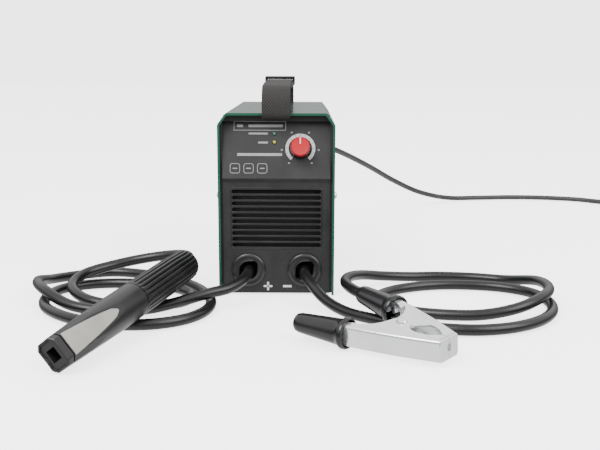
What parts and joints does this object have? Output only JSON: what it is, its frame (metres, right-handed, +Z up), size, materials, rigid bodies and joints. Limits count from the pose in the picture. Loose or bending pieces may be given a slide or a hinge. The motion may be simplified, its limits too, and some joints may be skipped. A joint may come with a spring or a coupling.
{
  "type": "stick welder",
  "caption": "Compact inverter stick welder with a strap handle, current knob, electrode holder and ground clamp on their leads, and a mains lead with a plug.",
  "frame": {"origin": "underside of the chassis, at the middle of the case, on the surface it stands on", "axes": "+Z up, front panel faces -Y, +X to the right seen from the front"},
  "size_m": [0.8802, 0.8727, 0.209],
  "materials": {
    "green_paint": "satin powder coat",
    "panel_plastic": "fine moulded grain",
    "gloss_plastic_black": "smooth",
    "cord_rubber": "satin sheath",
    "red_plastic": "smooth",
    "scale_silver": "printed ring",
    "zinc_sheet": "zinc plated sheet",
    "plated_steel": "bright plated",
    "brass": "turned",
    "aluminium": "extruded",
    "circuit_board": "solder mask",
    "ferrite": "sintered",
    "copper": "enamelled winding",
    "capacitor_sleeve": "shrink sleeve",
    "webbing": "woven",
    "grey_plate": "moulded",
    "green_lens": "lens",
    "yellow_lens": "lens"
  },
  "bodies": {
    "root": {"top_cover": "green_paint", "chassis_pan": "zinc_sheet", "cover_screw_1": "plated_steel", "cover_screw_2": "plated_steel", "cover_screw_3": "plated_steel", "cover_screw_4": "plated_steel", "front_panel": "panel_plastic", "positive_outlet": "gloss_plastic_black", "negative_outlet": "gloss_plastic_black", "current_scale": "scale_silver", "potentiometer": "zinc_sheet", "power_led": "green_lens", "overheat_led": "yellow_lens", "control_board": "circuit_board", "rear_panel": "panel_plastic", "switch_housing": "gloss_plastic_black", "gland_collar": "panel_plastic", "strain_relief": "cord_rubber", "fan_frame": "panel_plastic", "power_board": "circuit_board", "heat_sink_left": "aluminium", "heat_sink_right": "aluminium", "transformer_core": "ferrite", "transformer_winding": "copper", "filter_capacitor_1": "capacitor_sleeve", "filter_capacitor_2": "capacitor_sleeve", "output_choke": "copper", "positive_terminal": "brass", "negative_terminal": "brass", "carry_strap": "webbing", "strap_buckle": "gloss_plastic_black", "strap_bar_front": "plated_steel", "strap_bar_rear": "plated_steel", "holder_head": "panel_plastic", "holder_plate_upper": "grey_plate", "holder_plate_lower": "grey_plate", "holder_jaw": "brass", "clamp_rear_jaw": "plated_steel", "clamp_rear_grip": "gloss_plastic_black", "clamp_lug": "brass", "clamp_bolt": "plated_steel", "clamp_rivet": "plated_steel", "clamp_spring": "zinc_sheet", "electrode_lead": "cord_rubber", "earth_lead": "cord_rubber", "mains_lead": "cord_rubber", "mains_coil": "cord_rubber", "coil_tie": "gloss_plastic_black", "mains_plug": "cord_rubber", "plug_pin_left": "plated_steel", "plug_pin_right": "plated_steel"},
    "knob": {"knob_skirt": "gloss_plastic_black", "knob_cap": "red_plastic", "knob_shaft": "brass"},
    "rocker": {"switch_rocker": "red_plastic"},
    "fan": {"fan_rotor": "gloss_plastic_black"},
    "holder_sleeve": {"holder_handle": "panel_plastic"},
    "plunger": {"holder_plunger": "plated_steel"},
    "clamp_front": {"clamp_front_jaw": "plated_steel", "clamp_front_grip": "gloss_plastic_black"}
  },
  "joints": [
    {"name": "knob_turn", "type": "hinge", "parent": "root", "child": "knob", "pos_m": [0.0228, -0.11, 0.143], "axis": [0, -0.9701, 0.2425], "range_deg": [-140, 140]},
    {"name": "rocker_tip", "type": "hinge", "parent": "root", "child": "rocker", "pos_m": [-0.027, 0.1093, 0.137], "axis": [1, 0, 0], "range_deg": [0, 12]},
    {"name": "fan_spin", "type": "hinge", "parent": "root", "child": "fan", "pos_m": [0, 0.0985, 0.06], "axis": [0, 1, 0], "continuous": true},
    {"name": "holder_twist", "type": "hinge", "parent": "root", "child": "holder_sleeve", "pos_m": [-0.0845, -0.1386, 0.0364], "axis": [-0.3368, -0.9358, -0.1041], "range_deg": [0, 270]},
    {"name": "plunger_grip", "type": "slide", "parent": "root", "child": "plunger", "axis": [-0.3368, -0.9358, -0.1041], "range_m": [0, 0.005]},
    {"name": "clamp_open", "type": "hinge", "parent": "root", "child": "clamp_front", "pos_m": [0.1044, -0.2782, 0.0156], "axis": [0.0636, 0.1102, -0.9919], "range_deg": [0, 22], "stiffness_Nm_per_rad": 1.2}
  ],
  "couplings": [
    {"joint": "plunger_grip", "follows": "holder_twist", "m_per_rad": 0.001061}
  ]
}
